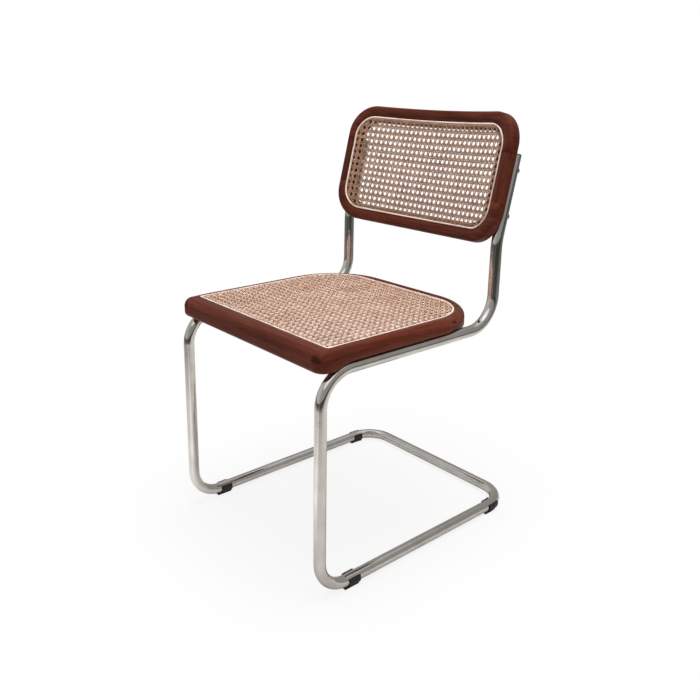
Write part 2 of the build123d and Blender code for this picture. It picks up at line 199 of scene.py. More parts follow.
def link_surface(tree, shader, colour, roughness, normal):
    """Gives the shader a colour, a roughness and a normal that change over the surface."""
    for name, socket in (("Base Color", colour), ("Roughness", roughness), ("Normal", normal)):
        tree.links.new(socket, shader.inputs[name])


def chrome():
    """Bright chrome: a near-white mirror, faintly cloudy and wavy, with the fine polishing lines of the tube."""
    material, tree, shader = new_material("chrome_tube", metallic=1.0, roughness=0.08)
    place = object_place(tree)
    cloud = add_noise(tree, place, 22.0, 3.0)
    colour = add_ramp(tree, cloud, [(0.3, srgb(205, 201, 196)), (0.7, srgb(222, 219, 215))])
    rough = add_range(tree, cloud, 0.3, 0.7, 0.06, 0.13)
    waves = add_bump(tree, add_noise(tree, place, 75.0, 1.0), 0.05, 0.004)
    lines = add_bump(tree, add_noise(tree, place, 900.0, 2.0), 0.02, 0.0002, waves)
    link_surface(tree, shader, colour, rough, lines)
    return material


def bore_access_holes(tube):
    """Bores the four holes below the seat rails through which the seat bolts are put in.
    Each drill is a circle about the bolt's axis, carried down from the middle of the tube."""
    turn = np.linspace(0, 2 * pi, drill_sides, endpoint=False)
    x, run, depth, turn = np.meshgrid([-tube_x, tube_x], seat_bolt_runs, [0.0, access_depth], turn, indexing="ij")
    along = run + access_radius * np.sin(turn)
    drills = np.stack([x + access_radius * np.cos(turn),
                       rail_front[0] + along * cos(rail_slope) - depth * sin(rail_slope),
                       rail_front[1] - along * sin(rail_slope) - depth * cos(rail_slope)], axis=-1)
    faces = []
    for start in range(0, x.size, 2 * drill_sides):
        top = start + np.arange(drill_sides)
        bottom = top + drill_sides
        faces += [top[::-1].tolist(), bottom.tolist()]
        faces += np.stack([top, np.roll(top, -1), np.roll(bottom, -1), bottom], axis=-1).tolist()
    drill = bpy.data.objects.new("drills", closed_mesh("drills", drills, faces))
    bpy.context.scene.collection.objects.link(drill)
    cut = tube.modifiers.new("access_holes", "BOOLEAN")
    cut.operation, cut.solver, cut.object = "DIFFERENCE", "EXACT", drill
    bored = bpy.data.meshes.new_from_object(tube.evaluated_get(bpy.context.evaluated_depsgraph_get()))
    tube.modifiers.clear()
    tube.data = bored
    bored.set_sharp_from_angle(angle=radians(40))
    bpy.data.objects.remove(drill)


left_side = [(tube_x, y, z) for y, z in side_corners]
right_side = [(-x, y, z) for x, y, z in reversed(left_side)]
centres, firsts, seconds = bent_path(left_side + right_side, side_bends + side_bends[::-1], bend_steps)
around = np.linspace(0, 2 * pi, tube_sides, endpoint=False)[None, :, None]
ring = np.cos(around) * firsts[:, None] + np.sin(around) * seconds[:, None]
outer_wall = centres[:, None] + tube_radius * ring
inner_wall = centres[:, None] + (tube_radius - tube_wall) * ring
tube_walls = np.concatenate([outer_wall, inner_wall[::-1]])
bent_tube = new_piece("bent_tube", tube_walls, grid_faces(len(tube_walls), tube_sides, True, True), chrome(),
                      "chrome_tube", "tube_frame")
bore_access_holes(bent_tube)

# The plugs close the two cut ends of the tube: moulded plastic caps, pressed in by their stems.
# The glides are black clips of the same plastic, sprung over the floor runs where the chair stands.


def moulded_plastic(name, colour, roughness):
    """Moulded plastic: a dark even colour, a fine spark-eroded texture, and scuffs that are paler and duller."""
    material, tree, shader = new_material(name, roughness=roughness)
    place = object_place(tree)
    scuff = add_noise(tree, place, 120.0, 5.0)
    pale = tuple(min(1.0, value * 1.9 + 0.004) for value in colour[:3]) + (1.0,)
    shade = add_ramp(tree, scuff, [(0.35, colour), (0.75, pale)])
    rough = add_range(tree, scuff, 0.3, 0.7, roughness - 0.08, roughness + 0.14)
    texture = add_bump(tree, add_noise(tree, place, 2600.0, 2.0), 0.12, 0.0002)
    link_surface(tree, shader, shade, rough, texture)
    return material


def finish_nodes(material, *names):
    """Gives nodes of the frame their finish, in all of their material slots."""
    for name in names:
        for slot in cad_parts[name].material_slots:
            slot.material = material


finish_nodes(moulded_plastic("glide_plastic", srgb(12, 12, 13), 0.5),
             "glide_front_left", "glide_front_right", "glide_rear_left", "glide_rear_right")
finish_nodes(moulded_plastic("plug_plastic", srgb(20, 20, 20), 0.45), "tube_plug_left", "tube_plug_right")

# The seat frame is four rails of beech, stained dark red-brown and lacquered to a satin sheen, and deeper where the
# tube doesn't carry it. The front rail's tenons are hidden in the side rails, whose ends show on the front, and the
# round rear rail is combed into them. The back frame, sawn to a bow, is stained and combed in the same way.
white = srgb(255, 255, 255)
frame_tone = {"seat": 1.10, "back": 0.89}


def stretched(tree, place, scale):
    """The place, with each of its directions multiplied."""
    return add_node(tree, "ShaderNodeVectorMath", {0: place, 1: scale}, operation="MULTIPLY").outputs["Vector"]


def mix_colours(tree, first, second, share=1.0, kind="MULTIPLY"):
    """Two colours multiplied, added or mixed, by a share of the second."""
    inputs = {0: share, 6: first, 7: second}
    return add_node(tree, "ShaderNodeMix", inputs, data_type="RGBA", blend_type=kind).outputs[2]


def dot_product(tree, vector, direction):
    """How far a vector goes along a direction."""
    inputs = {0: vector, 1: direction}
    return add_node(tree, "ShaderNodeVectorMath", inputs, operation="DOT_PRODUCT").outputs["Value"]


def add_math(tree, operation, *values):
    """The result of one operation on its values."""
    return add_node(tree, "ShaderNodeMath", dict(enumerate(values)), operation=operation).outputs["Value"]


def wood_grain_group():
    """Grain of stained wood, along X of the vector it is given: long streaks, a slow change of tone,
    and fine dark pores. The ends of the grain drink more stain, so the end mask darkens them."""
    group = bpy.data.node_groups.new("stained_wood_grain", "ShaderNodeTree")
    for name, way, kind in (("Grain Vector", "INPUT", "NodeSocketVector"), ("End Mask", "INPUT", "NodeSocketFloat"),
                            ("Color", "OUTPUT", "NodeSocketColor"), ("Roughness", "OUTPUT", "NodeSocketFloat"),
                            ("Height", "OUTPUT", "NodeSocketFloat")):
        group.interface.new_socket(name, in_out=way, socket_type=kind)
    source = add_node(group, "NodeGroupInput")
    result = add_node(group, "NodeGroupOutput")

    def streaks(along, across, detail):
        """Noise drawn out along the grain."""
        drawn_out = stretched(group, source.outputs["Grain Vector"], (along, across, across))
        return add_noise(group, drawn_out, 1.0, detail, 0.6)

    figure = streaks(7.0, 130.0, 4.0)
    pores = streaks(60.0, 1500.0, 2.0)
    grain = add_ramp(group, figure, [(0.30, srgb(79, 36, 24)), (0.52, srgb(97, 46, 32)), (0.72, srgb(111, 58, 42))])
    tone = add_ramp(group, streaks(3.0, 16.0, 2.0), [(0.35, srgb(222, 218, 218)), (0.65, srgb(250, 250, 250))])
    pored = add_ramp(group, pores, [(0.30, srgb(150, 140, 140)), (0.42, white)])
    stained = mix_colours(group, mix_colours(group, grain, tone), pored)
    ended = mix_colours(group, stained, srgb(44, 16, 12), source.outputs["End Mask"], "MIX")
    rough = add_range(group, figure, 0.3, 0.7, 0.30, 0.40)
    for name, socket in (("Color", ended), ("Roughness", rough), ("Height", pores)):
        group.links.new(socket, result.inputs[name])
    return group


wood_grain = wood_grain_group()


def stained_wood(name, grain, shift, tone, end_stain, end_axis, end_clear, end_full):
    """Lacquered wood whose grain runs along a direction in the YZ plane or along X, given as a unit vector.
    The stain took lighter on one frame than on the other, so each has its tone.
    The ends of the grain are dark from one place to another along an axis, where they show on the real frame."""
    material, tree, shader = new_material(name, roughness=0.35)
    for key, value in (("Specular IOR Level", 0.07), ("Coat Weight", 0.02), ("Coat Roughness", 0.22)):
        shader.inputs[key].default_value = value
    place = object_place(tree)
    turn = (0.0, 0.0, 0.0) if grain.x > 0.5 else (-atan2(grain.z, grain.y), 0.0, -pi / 2)
    turned = add_node(tree, "ShaderNodeMapping", {"Vector": place, "Rotation": turn, "Location": shift})
    normal = add_node(tree, "ShaderNodeNewGeometry").outputs["Normal"]
    along = add_math(tree, "ABSOLUTE", dot_product(tree, normal, grain))
    facing_end = add_range(tree, along, 0.70, 0.84, 0.0, end_stain)
    axis = add_node(tree, "ShaderNodeSeparateXYZ", {"Vector": place}).outputs[end_axis]
    ends = add_math(tree, "MULTIPLY", facing_end, add_range(tree, axis, end_clear, end_full))
    wood = add_node(tree, "ShaderNodeGroup", {"Grain Vector": turned.outputs["Vector"], "End Mask": ends},
                    node_tree=wood_grain).outputs
    toned = mix_colours(tree, wood["Color"], (tone, tone, tone, 1.0))
    link_surface(tree, shader, toned, wood["Roughness"], add_bump(tree, wood["Height"], 0.10, 0.0003))
    return material


seat_thickness, seat_gap = 0.0275, 0.0002
seat_lift = tube_radius + seat_gap + seat_thickness


def on_seat(x, y, height):
    """Places on the seat: y runs back from the front bend along the rails' slope, height is above the wood's top."""
    lift = seat_lift + height
    return np.stack([x, rail_front[0] + y * cos(rail_slope) + lift * sin(rail_slope),
                     rail_front[1] - y * sin(rail_slope) + lift * cos(rail_slope)], axis=-1)


def off_seat(points):
    """The reverse of on_seat: how far across, back along the rails and above the wood's top each place is."""
    back, up = points[:, 1] - rail_front[0], points[:, 2] - rail_front[1]
    return (points[:, 0], back * cos(rail_slope) - up * sin(rail_slope),
            back * sin(rail_slope) + up * cos(rail_slope) - seat_lift)


def rounded_depth(x, y, half_width, low, high, round_low, round_high):
    """How far a point lies inside a rectangle with rounded corners, whose two ends have radii of their own."""
    middle, half_length = (low + high) / 2, (high - low) / 2
    corner = np.where(y > middle, round_high, round_low)
    past_x = np.abs(x) - (half_width - corner)
    past_y = np.abs(y - middle) - (half_length - corner)
    outside = np.hypot(np.maximum(past_x, 0), np.maximum(past_y, 0))
    return corner - outside - np.minimum(np.maximum(past_x, past_y), 0)


def outward(x, y, outline):
    """The way out of a rounded rectangle: how fast the depth inside it falls across and along, over a small step."""
    step = 0.0001
    return ((rounded_depth(x - step, y, *outline) - rounded_depth(x + step, y, *outline)) / (2 * step),
            (rounded_depth(x, y - step, *outline) - rounded_depth(x, y + step, *outline)) / (2 * step))


def smooth_step(value):
    """Rises from 0 to 1 as the value does, level at both ends."""
    value = np.clip(value, 0, 1)
    return value * value * (3 - 2 * value)


seat_half, seat_front, seat_rear, front_corner, rear_corner = 0.232, -0.017, 0.422, 0.018, 0.136
seat_wood = (seat_half, seat_front, seat_rear, front_corner, rear_corner)
seat_middle = 0.2
top_round, side_round, nose_round = 0.012, 0.0150, 0.0190
bottom_round, crisp_round = 0.009, 0.007
round_from, round_run = 0.055, 0.050
let_down = 0.0092
bend_start, bend_outer = 0.0647, 0.075
tube_inside, tube_fade = 0.211, 0.012
rear_start, rear_run = 0.33, 0.02
nose_from, nose_share = 0.020, 0.79
fuller_corner = 0.007
hair, skin = 0.00001, 0.0005
seat_cuts = (0.020, 0.026, 0.031, 0.036, 0.042, 0.049, 0.057, 0.0647, 0.33, 0.335, 0.34, 0.345, 0.35, 0.38)


def let_down_wood(points):
    """The seat's wood where the tube doesn't carry it: it hangs lower by as much as the tube has bent away from it,
    with a crisper lower edge, and in front of the cane the rail is a share narrower, with fuller rounds.
    Each round is read as an angle, and drawn again about its new centre with its new radius."""
    x, y, height = off_seat(points)
    inside = rounded_depth(x, y, *seat_wood)
    out_x, out_y = outward(x, y, seat_wood)
    ahead = np.clip(bend_start - y, 0, bend_outer)
    bent_away = bend_outer - np.sqrt(bend_outer**2 - ahead**2)
    at_front = np.clip(bent_away / let_down, 0, 1)
    at_rear = smooth_step((tube_inside - np.abs(x)) / tube_fade) * smooth_step((y - rear_start) / rear_run)
    share = np.where(y < seat_middle, at_front, at_rear)
    round_top = bottom_round - seat_thickness
    angle = np.arctan2(round_top - height, bottom_round - inside)
    radius = bottom_round + (crisp_round - bottom_round) * share
    on_round = (height < round_top + hair) & (inside < bottom_round + hair)
    drawn_in = np.where(on_round, radius * (1 - np.cos(angle)), inside)
    drawn_down = -seat_thickness - let_down * share + radius * (1 - np.sin(angle))
    fuller = side_round + (nose_round - side_round) * smooth_step((round_from - y) / round_run)
    down = np.clip((-top_round - height) / (-top_round - round_top), 0, 1)
    face_foot = radius - seat_thickness - let_down * share
    lowered = np.where((inside < skin) & (down > 0), down * (face_foot + fuller) - fuller,
                       height - let_down * share * smooth_step(down))
    over_top = (height > -top_round - hair) & (inside < top_round + hair)
    lean_over = np.arctan2(top_round + height, top_round - inside)
    drawn_in = np.where(over_top, fuller * (1 - np.cos(lean_over)), drawn_in)
    lowered = np.where(over_top, fuller * (np.sin(lean_over) - 1), lowered)
    height = np.where(on_round, drawn_down, lowered)
    corner_x, corner_y = seat_half - front_corner, seat_front + front_corner
    past_x, past_y = np.abs(x) - corner_x, y - corner_y
    at_corner = (past_x > -2 * hair) & (past_y < 2 * hair)
    turn, reach = np.arctan2(past_y, past_x), front_corner + fuller_corner - drawn_in
    y = np.where(at_corner, corner_y + fuller_corner + reach * np.sin(turn), y + (inside - drawn_in) * out_y)
    x = np.where(at_corner, np.sign(x) * (corner_x - fuller_corner + reach * np.cos(turn)),
                 x + (inside - drawn_in) * out_x)
    y = np.where(y < nose_from, nose_from - (nose_from - y) * nose_share, y)
    return on_seat(x, y, height)


back_radius, bow_axis = 0.891, 0.9008438
back_half, back_low, back_high, back_corner = 0.2335, -0.0076, 0.2441, 0.064
back_wood = (back_half, back_low, back_high, back_corner, back_corner)
back_thickness = 0.025
back_swell = 0.002
front_round, front_fill, front_from, front_span = 0.016, 0.0015, 0.31, 0.33
rear_round, rear_fill, rear_from, rear_span = 0.014, 0.0020, 0.29, 0.34


def on_back(x, y, height):
    """Places on the bowed back: y runs up the lean from the uprights' bend, height is in front of the wood's face.
    The face is a part of a cylinder, whose axis stands in front of the sitter."""
    forward = bow_axis - np.sqrt((back_radius - height) ** 2 - x**2)
    return np.stack([x, kink[0] + y * sin(lean) - forward * cos(lean),
                     kink[1] + y * cos(lean) + forward * sin(lean)], axis=-1)


def off_back(points):
    """The reverse of on_back: how far across, up the lean and in front of the wood's face each place is."""
    x, behind, up = points[:, 0], points[:, 1] - kink[0], points[:, 2] - kink[1]
    forward = up * sin(lean) - behind * cos(lean)
    return x, behind * sin(lean) + up * cos(lean), back_radius - np.hypot(bow_axis - forward, x)


def filled_wood(points):
    """The back's wood a little fuller round its outside: the edge lies further out, and both rounds are tighter.
    The shift fades out towards the groove, and each round is filled most half way along its arc."""
    x, y, height = off_back(points)
    inside = rounded_depth(x, y, *back_wood)
    out_x, out_y = outward(x, y, back_wood)
    near_edge = np.clip(1 - inside / front_round, 0, 1)
    near_face = np.clip(1 + height / front_round, 0, 1)
    front = front_fill * smooth_step((near_edge * near_face - front_from) / front_span)
    near_side = np.clip(1 - inside / rear_round, 0, 1)
    near_rear = np.clip(1 - (height + back_thickness) / rear_round, 0, 1)
    rear = rear_fill * smooth_step((near_side * near_rear - rear_from) / rear_span)
    out = back_swell * smooth_step(near_edge) + (front + rear) * cos(pi / 4)
    return on_back(x + out * out_x, y + out * out_y, height + (front - rear) * cos(pi / 4))


def sanded_rail(node, grain, shift, end_stain, end_axis="Z", end_clear=-1.0, end_full=-0.9):
    """A copy of a rail's solid with its facets merged and smoothed, sharp only where two faces meet at an edge.
    A rail of the seat is first cut across in places, so that its lower side can be let down there."""
    of_seat = node.startswith("seat")
    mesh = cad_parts[node].data.copy()
    mesh.name = node + "_sanded"
    shell = bmesh.new()
    shell.from_mesh(mesh)
    bmesh.ops.remove_doubles(shell, verts=shell.verts, dist=hair)
    for run in seat_cuts if of_seat else ():
        bmesh.ops.bisect_plane(shell, geom=shell.verts[:] + shell.edges[:] + shell.faces[:],
                               plane_co=on_seat(0.0, run, 0.0), plane_no=(0.0, cos(rail_slope), -sin(rail_slope)))
    shell.to_mesh(mesh)
    shell.free()
    points = np.empty(len(mesh.vertices) * 3, np.float32)
    mesh.vertices.foreach_get("co", points)
    shaped = let_down_wood if of_seat else filled_wood
    points = shaped(points.reshape(-1, 3).astype(float))
    mesh.vertices.foreach_set("co", points.astype(np.float32).ravel())
    mesh.shade_smooth()
    mesh.set_sharp_from_angle(angle=radians(28))
    mesh.materials.clear()
    mesh.materials.append(stained_wood(node + "_wood", Vector(grain), shift, frame_tone[node[:4]],
                                       end_stain, end_axis, end_clear, end_full))
    add_piece(node + "_sanded", mesh, "dark_wood", node)


across_grain = (1.0, 0.0, 0.0)
deep_grain = (0.0, 1.0, 0.0)
leaning_grain = (0.0, sin(lean), cos(lean))
comb_line, comb_edge = 0.0661, 0.0006
stain_foot, stain_full = 0.4495, 0.4518
sanded_rail("seat_front_rail", across_grain, (0.0, 0.0, 0.0), 0.0)
sanded_rail("seat_rear_rail", across_grain, (0.7, 0.2, 0.1), 0.9, "Y", comb_line + comb_edge, comb_line)
sanded_rail("seat_left_rail", deep_grain, (0.3, 0.5, 0.0), 0.8, "Z", stain_foot, stain_full)
sanded_rail("seat_right_rail", deep_grain, (1.3, 0.1, 0.4), 0.8, "Z", stain_foot, stain_full)
sanded_rail("back_top_rail", across_grain, (0.2, 0.9, 0.3), 0.15)
sanded_rail("back_bottom_rail", across_grain, (1.9, 0.4, 0.6), 0.15)
sanded_rail("back_left_stile", leaning_grain, (0.6, 0.3, 0.2), 0.15)
sanded_rail("back_right_stile", leaning_grain, (2.1, 0.7, 0.5), 0.15)

# The bolts hold the wooden frames to the tube, each screwed into a brass insert nut that is let into the wood.
# They are zinc-plated steel. The seat bolts' heads sit inside the tube, above its access holes, and the back bolts'
# domed heads show behind the uprights.


def machined_metal(name, dark, light, roughness):
    """Machined metal: turning marks as fine noise, and a little tarnish in patches."""
    material, tree, shader = new_material(name, metallic=1.0, roughness=roughness)
    place = object_place(tree)
    tarnish = add_noise(tree, place, 260.0, 4.0)
    colour = add_ramp(tree, tarnish, [(0.3, dark), (0.7, light)])
    rough = add_range(tree, tarnish, 0.3, 0.7, roughness - 0.08, roughness + 0.1)
    marks = add_bump(tree, add_noise(tree, place, 3200.0, 2.0), 0.05, 0.0002)
    link_surface(tree, shader, colour, rough, marks)
    return material


finish_nodes(machined_metal("bolt_steel", srgb(196, 194, 191), srgb(226, 224, 221), 0.28), "seat_bolts", "back_bolts")
finish_nodes(machined_metal("insert_brass", srgb(150, 118, 60), srgb(196, 160, 92), 0.34),
             "seat_insert_nuts", "back_insert_nuts")

# The seat cane is a sheet of machine-woven rattan peel: strands in pairs both ways, and one diagonal strand each
# way between them, which leave eight-sided holes. Its edge is tucked down into the groove of the frame.
strand_profile = np.array([(-0.5, -0.35), (-0.27, 0.5), (0.27, 0.5), (0.5, -0.35)])
sweep_steps, sweep_reach, fewest_steps = 1201, 1.2, 12
strand_wander = 0.00014
tuck_width, tuck_depth, tuck_reach = 0.0045, 0.004, 0.002
weave_sink = 0.0006


def woven_strands(outline, pitch_x, pitch_y, pair, swing, samples):
    """Centre lines of all the strands of a cane panel, as flat places with a height for the over and under.
    Pairs lie either side of the lattice lines and cross each other by turns, so their height is a sine along them.
    Diagonals run through the middles between crossings, over one pair and under the next, so theirs is a cosine."""
    half_width, low, high = outline[:3]
    middle = (low + high) / 2
    columns = int(half_width / pitch_x)
    rows = int((high - low) / 2 / pitch_y)
    side = np.array([-1.0, 1.0])
    sweep = np.linspace(-1, 1, sweep_steps)
    reach = sweep_reach * (half_width + (high - low))
    upright_x = (np.arange(-columns, columns + 1)[:, None] * pitch_x + side * pair).ravel()
    level_y = middle + (np.arange(-rows, rows + 1)[:, None] * pitch_y + side * pair).ravel()
    count = columns + rows + 2
    offsets = np.arange(-count, count + 1) + 0.5
    slope = pitch_y / pitch_x
    random = np.random.default_rng(11)
    families = [
        (upright_x, np.full(upright_x.shape, middle), 0.0, 1.0),
        (np.zeros(level_y.shape), level_y, 1.0, 0.0),
        (offsets * pitch_x, np.full(offsets.shape, middle), 1.0, slope),
        (offsets * pitch_x, np.full(offsets.shape, middle), 1.0, -slope),
    ]
    strands = []
    for number, (start_x, start_y, step_x, step_y) in enumerate(families):
        length = hypot(step_x, step_y)
        step_x, step_y = step_x / length, step_y / length
        x = start_x[:, None] + sweep * reach * step_x
        y = start_y[:, None] + sweep * reach * step_y
        inside = rounded_depth(x, y, *outline) > 0
        used = inside.sum(axis=1) > fewest_steps
        uneven = random.normal(0, strand_wander, start_x.shape)
        start_x, start_y = start_x - uneven * step_y, start_y + uneven * step_x
        first = inside.argmax(axis=1)[used]
        last = (inside.shape[1] - 1 - inside[:, ::-1].argmax(axis=1))[used]
        along = np.linspace(0, 1, samples[number])
        t = sweep[first][:, None] * (1 - along) + sweep[last][:, None] * along
        x = start_x[used][:, None] + t * reach * step_x
        y = start_y[used][:, None] + t * reach * step_y
        by_turns = np.where(np.arange(start_x.size) % 2, 1.0, -1.0)[used][:, None]
        if number == 0:
            height = swing * by_turns * np.sin(2 * pi * (y - middle) / pitch_y)
        elif number == 1:
            height = -swing * by_turns * np.sin(2 * pi * x / pitch_x)
        else:
            height = (-swing if number == 2 else swing) * np.cos(2 * pi * x / pitch_x)
        depth = rounded_depth(x, y, *outline)
        height = height - tuck_depth * np.clip(1 - depth / tuck_reach, 0, 1) ** 2
        strands.append((x, y, height, (step_x, step_y)))
    return strands


def strand_shell(x, y, height, heading, width, thickness):
    """Flat-backed strands with a bevelled face: a four-sided profile carried along each centre line.
    Gives flat places and heights, as one array of strand, step and side."""
    across = strand_profile[:, 0] * width
    return (x[..., None] - across * heading[1], y[..., None] + across * heading[0],
            height[..., None] + strand_profile[:, 1] * thickness)


def cane_piece(name, families, strand, place, material, *nodes):
    """All the strands of some families as one mesh, just under the wood's face, each closed round its profile.
    Each point keeps its strand's tint, its run along the strand and its place across it as attributes."""
    points, faces, tints, runs, across, offset = [], [], [], [], [], 0
    random = np.random.default_rng(7)
    for x, y, height, heading in families:
        px, py, pz = strand_shell(x, y, height, heading, *strand)
        count, samples, sides = px.shape
        strip = grid_faces(samples, sides, False, True)
        starts = offset + np.arange(count)[:, None, None] * samples * sides
        ends = np.array([[3, 2, 1, 0], [0, 1, 2, 3]]) + [[0], [(samples - 1) * sides]]
        faces.append((np.concatenate([strip, ends])[None] + starts).reshape(-1, 4))
        points.append(place(px, py, pz - weave_sink).reshape(-1, 3))
        tints.append(np.repeat(random.random(count), samples * sides))
        runs.append(np.repeat(np.hypot(x - x[:, :1], y - y[:, :1]).ravel(), sides))
        across.append(np.tile(2 * strand_profile[:, 0], count * samples))
        offset += count * samples * sides
    piece = new_piece(name, np.concatenate(points), np.concatenate(faces), material, "cane", *nodes)
    for label, values in (("strand_tint", tints), ("strand_run", runs), ("strand_across", across)):
        layer = piece.data.attributes.new(label, "FLOAT", "POINT")
        layer.data.foreach_set("value", np.concatenate(values).astype(np.float32))


def rattan_peel(name, dark, middle, light, painted_edge_shade):
    """Split rattan peel: pale straw with a pink cast, each strand a tone of its own, with brown fibre streaks and
    darker nodes along its run, painted shade at its edges where strands lie close, and the slight gloss of the bark
    side."""
    material, tree, shader = new_material(name, roughness=0.42)
    tint, run, across = [add_node(tree, "ShaderNodeAttribute", attribute_name=label).outputs["Fac"]
                         for label in ("strand_tint", "strand_run", "strand_across")]
    on_strand = add_node(tree, "ShaderNodeCombineXYZ", {"X": run, "Y": tint}).outputs["Vector"]
    along = add_noise(tree, stretched(tree, on_strand, (22.0, 400.0, 1.0)), 1.0, 3.0)
    fibre = add_noise(tree, object_place(tree), 900.0, 3.0)
    base = add_ramp(tree, tint, [(0.0, dark), (0.5, middle), (1.0, light)])
    patches = add_ramp(tree, along, [(0.32, srgb(206, 186, 170)), (0.60, white)])
    streaks = add_ramp(tree, fibre, [(0.36, srgb(200, 180, 165)), (0.55, white)])
    # Painted shade: each strand is darkened towards its edges, standing in for the shade between close-lying strands.
    edges = add_ramp(tree, add_math(tree, "ABSOLUTE", across), [(0.52, white), (1.0, painted_edge_shade)])
    fibred = mix_colours(tree, mix_colours(tree, base, patches), streaks, 0.8)
    rough = add_range(tree, along, 0.3, 0.7, 0.50, 0.38)
    link_surface(tree, shader, mix_colours(tree, fibred, edges), rough, add_bump(tree, fibre, 0.15, 0.0002))
    return material


# The last colour is the painted shade at the strands' edges.
seat_peel = rattan_peel("seat_cane_peel", srgb(212, 177, 156), srgb(228, 200, 183), srgb(241, 221, 207),
                        srgb(188, 152, 128))
groove_half, groove_front, groove_rear = 0.210, 0.022, 0.3935
weave_corners = (0.006, 0.0935)
seat_outline = (groove_half - tuck_width, groove_front + tuck_width, groove_rear - tuck_width, *weave_corners)
seat_weave = woven_strands(seat_outline, pitch_x=0.0131, pitch_y=0.0146, pair=0.0017, swing=0.0011,
                           samples=(164, 190, 210, 210))
seat_strand = (0.0033, 0.0013)
cane_piece("seat_cane_pairs", seat_weave[:2], seat_strand, on_seat, seat_peel, "seat_cane")
cane_piece("seat_cane_diagonals", seat_weave[2:], seat_strand, on_seat, seat_peel)

# The seat spline is a split reed, glued into the groove over the cane's edge all the way round.
# Its top is rounded and stands a little proud of the wood.
reed_width, reed_inset = 0.0032, 0.0026
reed_proud, reed_spring, reed_sunk = 0.0009, 0.4, 0.006
corner_steps, side_steps, top_steps = 24, 24, 9
groove_corners = (0.0061, 0.098)


def rounded_line(half_width, low, high, round_low, round_high):
    """Closed line round a rectangle with rounded corners: four straight sides and four quarter circles.
    Gives the places, and the outward direction at each."""
    quarter = np.linspace(0, pi / 2, corner_steps)
    step = np.linspace(0, 1, side_steps + 2)[1:-1, None]
    places, directions = [], []
    corners = [(half_width, high, round_high, 0), (-half_width, high, round_high, 1),
               (-half_width, low, round_low, 2), (half_width, low, round_low, 3)]
    for x, y, radius, turn in corners:
        angle = quarter + turn * pi / 2
        direction = np.stack([np.cos(angle), np.sin(angle)], axis=-1)
        centre = np.array([x - np.sign(x) * radius, y - radius if turn < 2 else y + radius])
        places.append(centre + radius * direction)
        directions.append(direction)
    line, facing = [], []
    for place, following, direction in zip(places, places[1:] + places[:1], directions):
        line += [place, place[-1] + step * (following[0] - place[-1])]
        facing += [direction, np.repeat(direction[-1:], side_steps, axis=0)]
    return np.concatenate(line), np.concatenate(facing)


def split_reed():
    """Split reed: pale cream core wood with fine lengthwise fibres and a few darker patches of glue."""
    material, tree, shader = new_material("spline_reed", roughness=0.5)
    place = object_place(tree)
    fibre = add_noise(tree, place, 420.0, 4.0)
    base = add_ramp(tree, fibre, [(0.30, srgb(226, 204, 190)), (0.60, srgb(248, 234, 224))])
    glue = add_ramp(tree, add_noise(tree, place, 24.0, 3.0), [(0.30, srgb(224, 208, 196)), (0.55, white)])
    rough = add_range(tree, fibre, 0.3, 0.7, 0.56, 0.42)
    link_surface(tree, shader, mix_colours(tree, base, glue), rough, add_bump(tree, fibre, 0.15, 0.0002))
    return material


reed_material = split_reed()


def laid_reed(name, node, place, half_width, low, high, round_low, round_high):
    """A reed laid round a groove: a half-round top over straight sides, carried along the groove's middle line.
    The round springs from below the wood's face, by a share of what stands proud of it."""
    line, facing = rounded_line(half_width - reed_inset, low + reed_inset, high - reed_inset,
                                round_low - reed_inset, round_high - reed_inset)
    top = np.linspace(pi, 0, top_steps)
    across = reed_width / 2 * np.concatenate([[-1.0], np.cos(top), [1.0]])
    rise = (1 + reed_spring) * np.sin(top) - reed_spring
    height = np.concatenate([[-reed_sunk], reed_proud * rise, [-reed_sunk]])
    x = line[:, None, 0] + facing[:, None, 0] * across
    y = line[:, None, 1] + facing[:, None, 1] * across
    reed = place(x, y, np.broadcast_to(height, x.shape))
    new_piece(name, reed, grid_faces(*x.shape, True, True), reed_material, "spline_reed", node)


laid_reed("seat_spline_reed", "seat_spline", on_seat, groove_half, groove_front, groove_rear, *groove_corners)

# The back cane is the same webbing in slimmer strands, a tone browner, and bowed with the frame.
# Its edge is tucked into the groove on the frame's hollow face.
back_margin = 0.0209
back_groove = (back_half - back_margin, back_low + back_margin, back_high - back_margin)
groove_corner, weave_corner = 0.048, 0.0435
back_outline = (back_groove[0] - tuck_width, back_groove[1] + tuck_width, back_groove[2] - tuck_width,
                weave_corner, weave_corner)
# The last colour is the painted shade at the strands' edges.
back_peel = rattan_peel("back_cane_peel", srgb(168, 127, 99), srgb(194, 156, 127), srgb(220, 187, 160),
                        srgb(122, 86, 64))
back_weave = woven_strands(back_outline, pitch_x=0.0132, pitch_y=0.0139, pair=0.0017, swing=0.0007,
                           samples=(100, 210, 150, 150))
back_strand = (0.0025, 0.0008)
cane_piece("back_cane_pairs", back_weave[:2], back_strand, on_back, back_peel, "back_cane")
cane_piece("back_cane_diagonals", back_weave[2:], back_strand, on_back, back_peel)

# The back spline is the same split reed, bent round the bowed groove.
# It is glued in over the cane's edge, and its rounded top stands a little proud.
laid_reed("back_spline_reed", "back_spline", on_back, *back_groove, groove_corner, groove_corner)

# The chair stands on a plain white studio floor, which keeps its soft shadow. Wide soft lights hang above it and
# to both sides. The studio behind the camera is grey, with a lit screen over the front, as the chrome shows.
black = (0.0, 0.0, 0.0, 1)
floor_half = 30


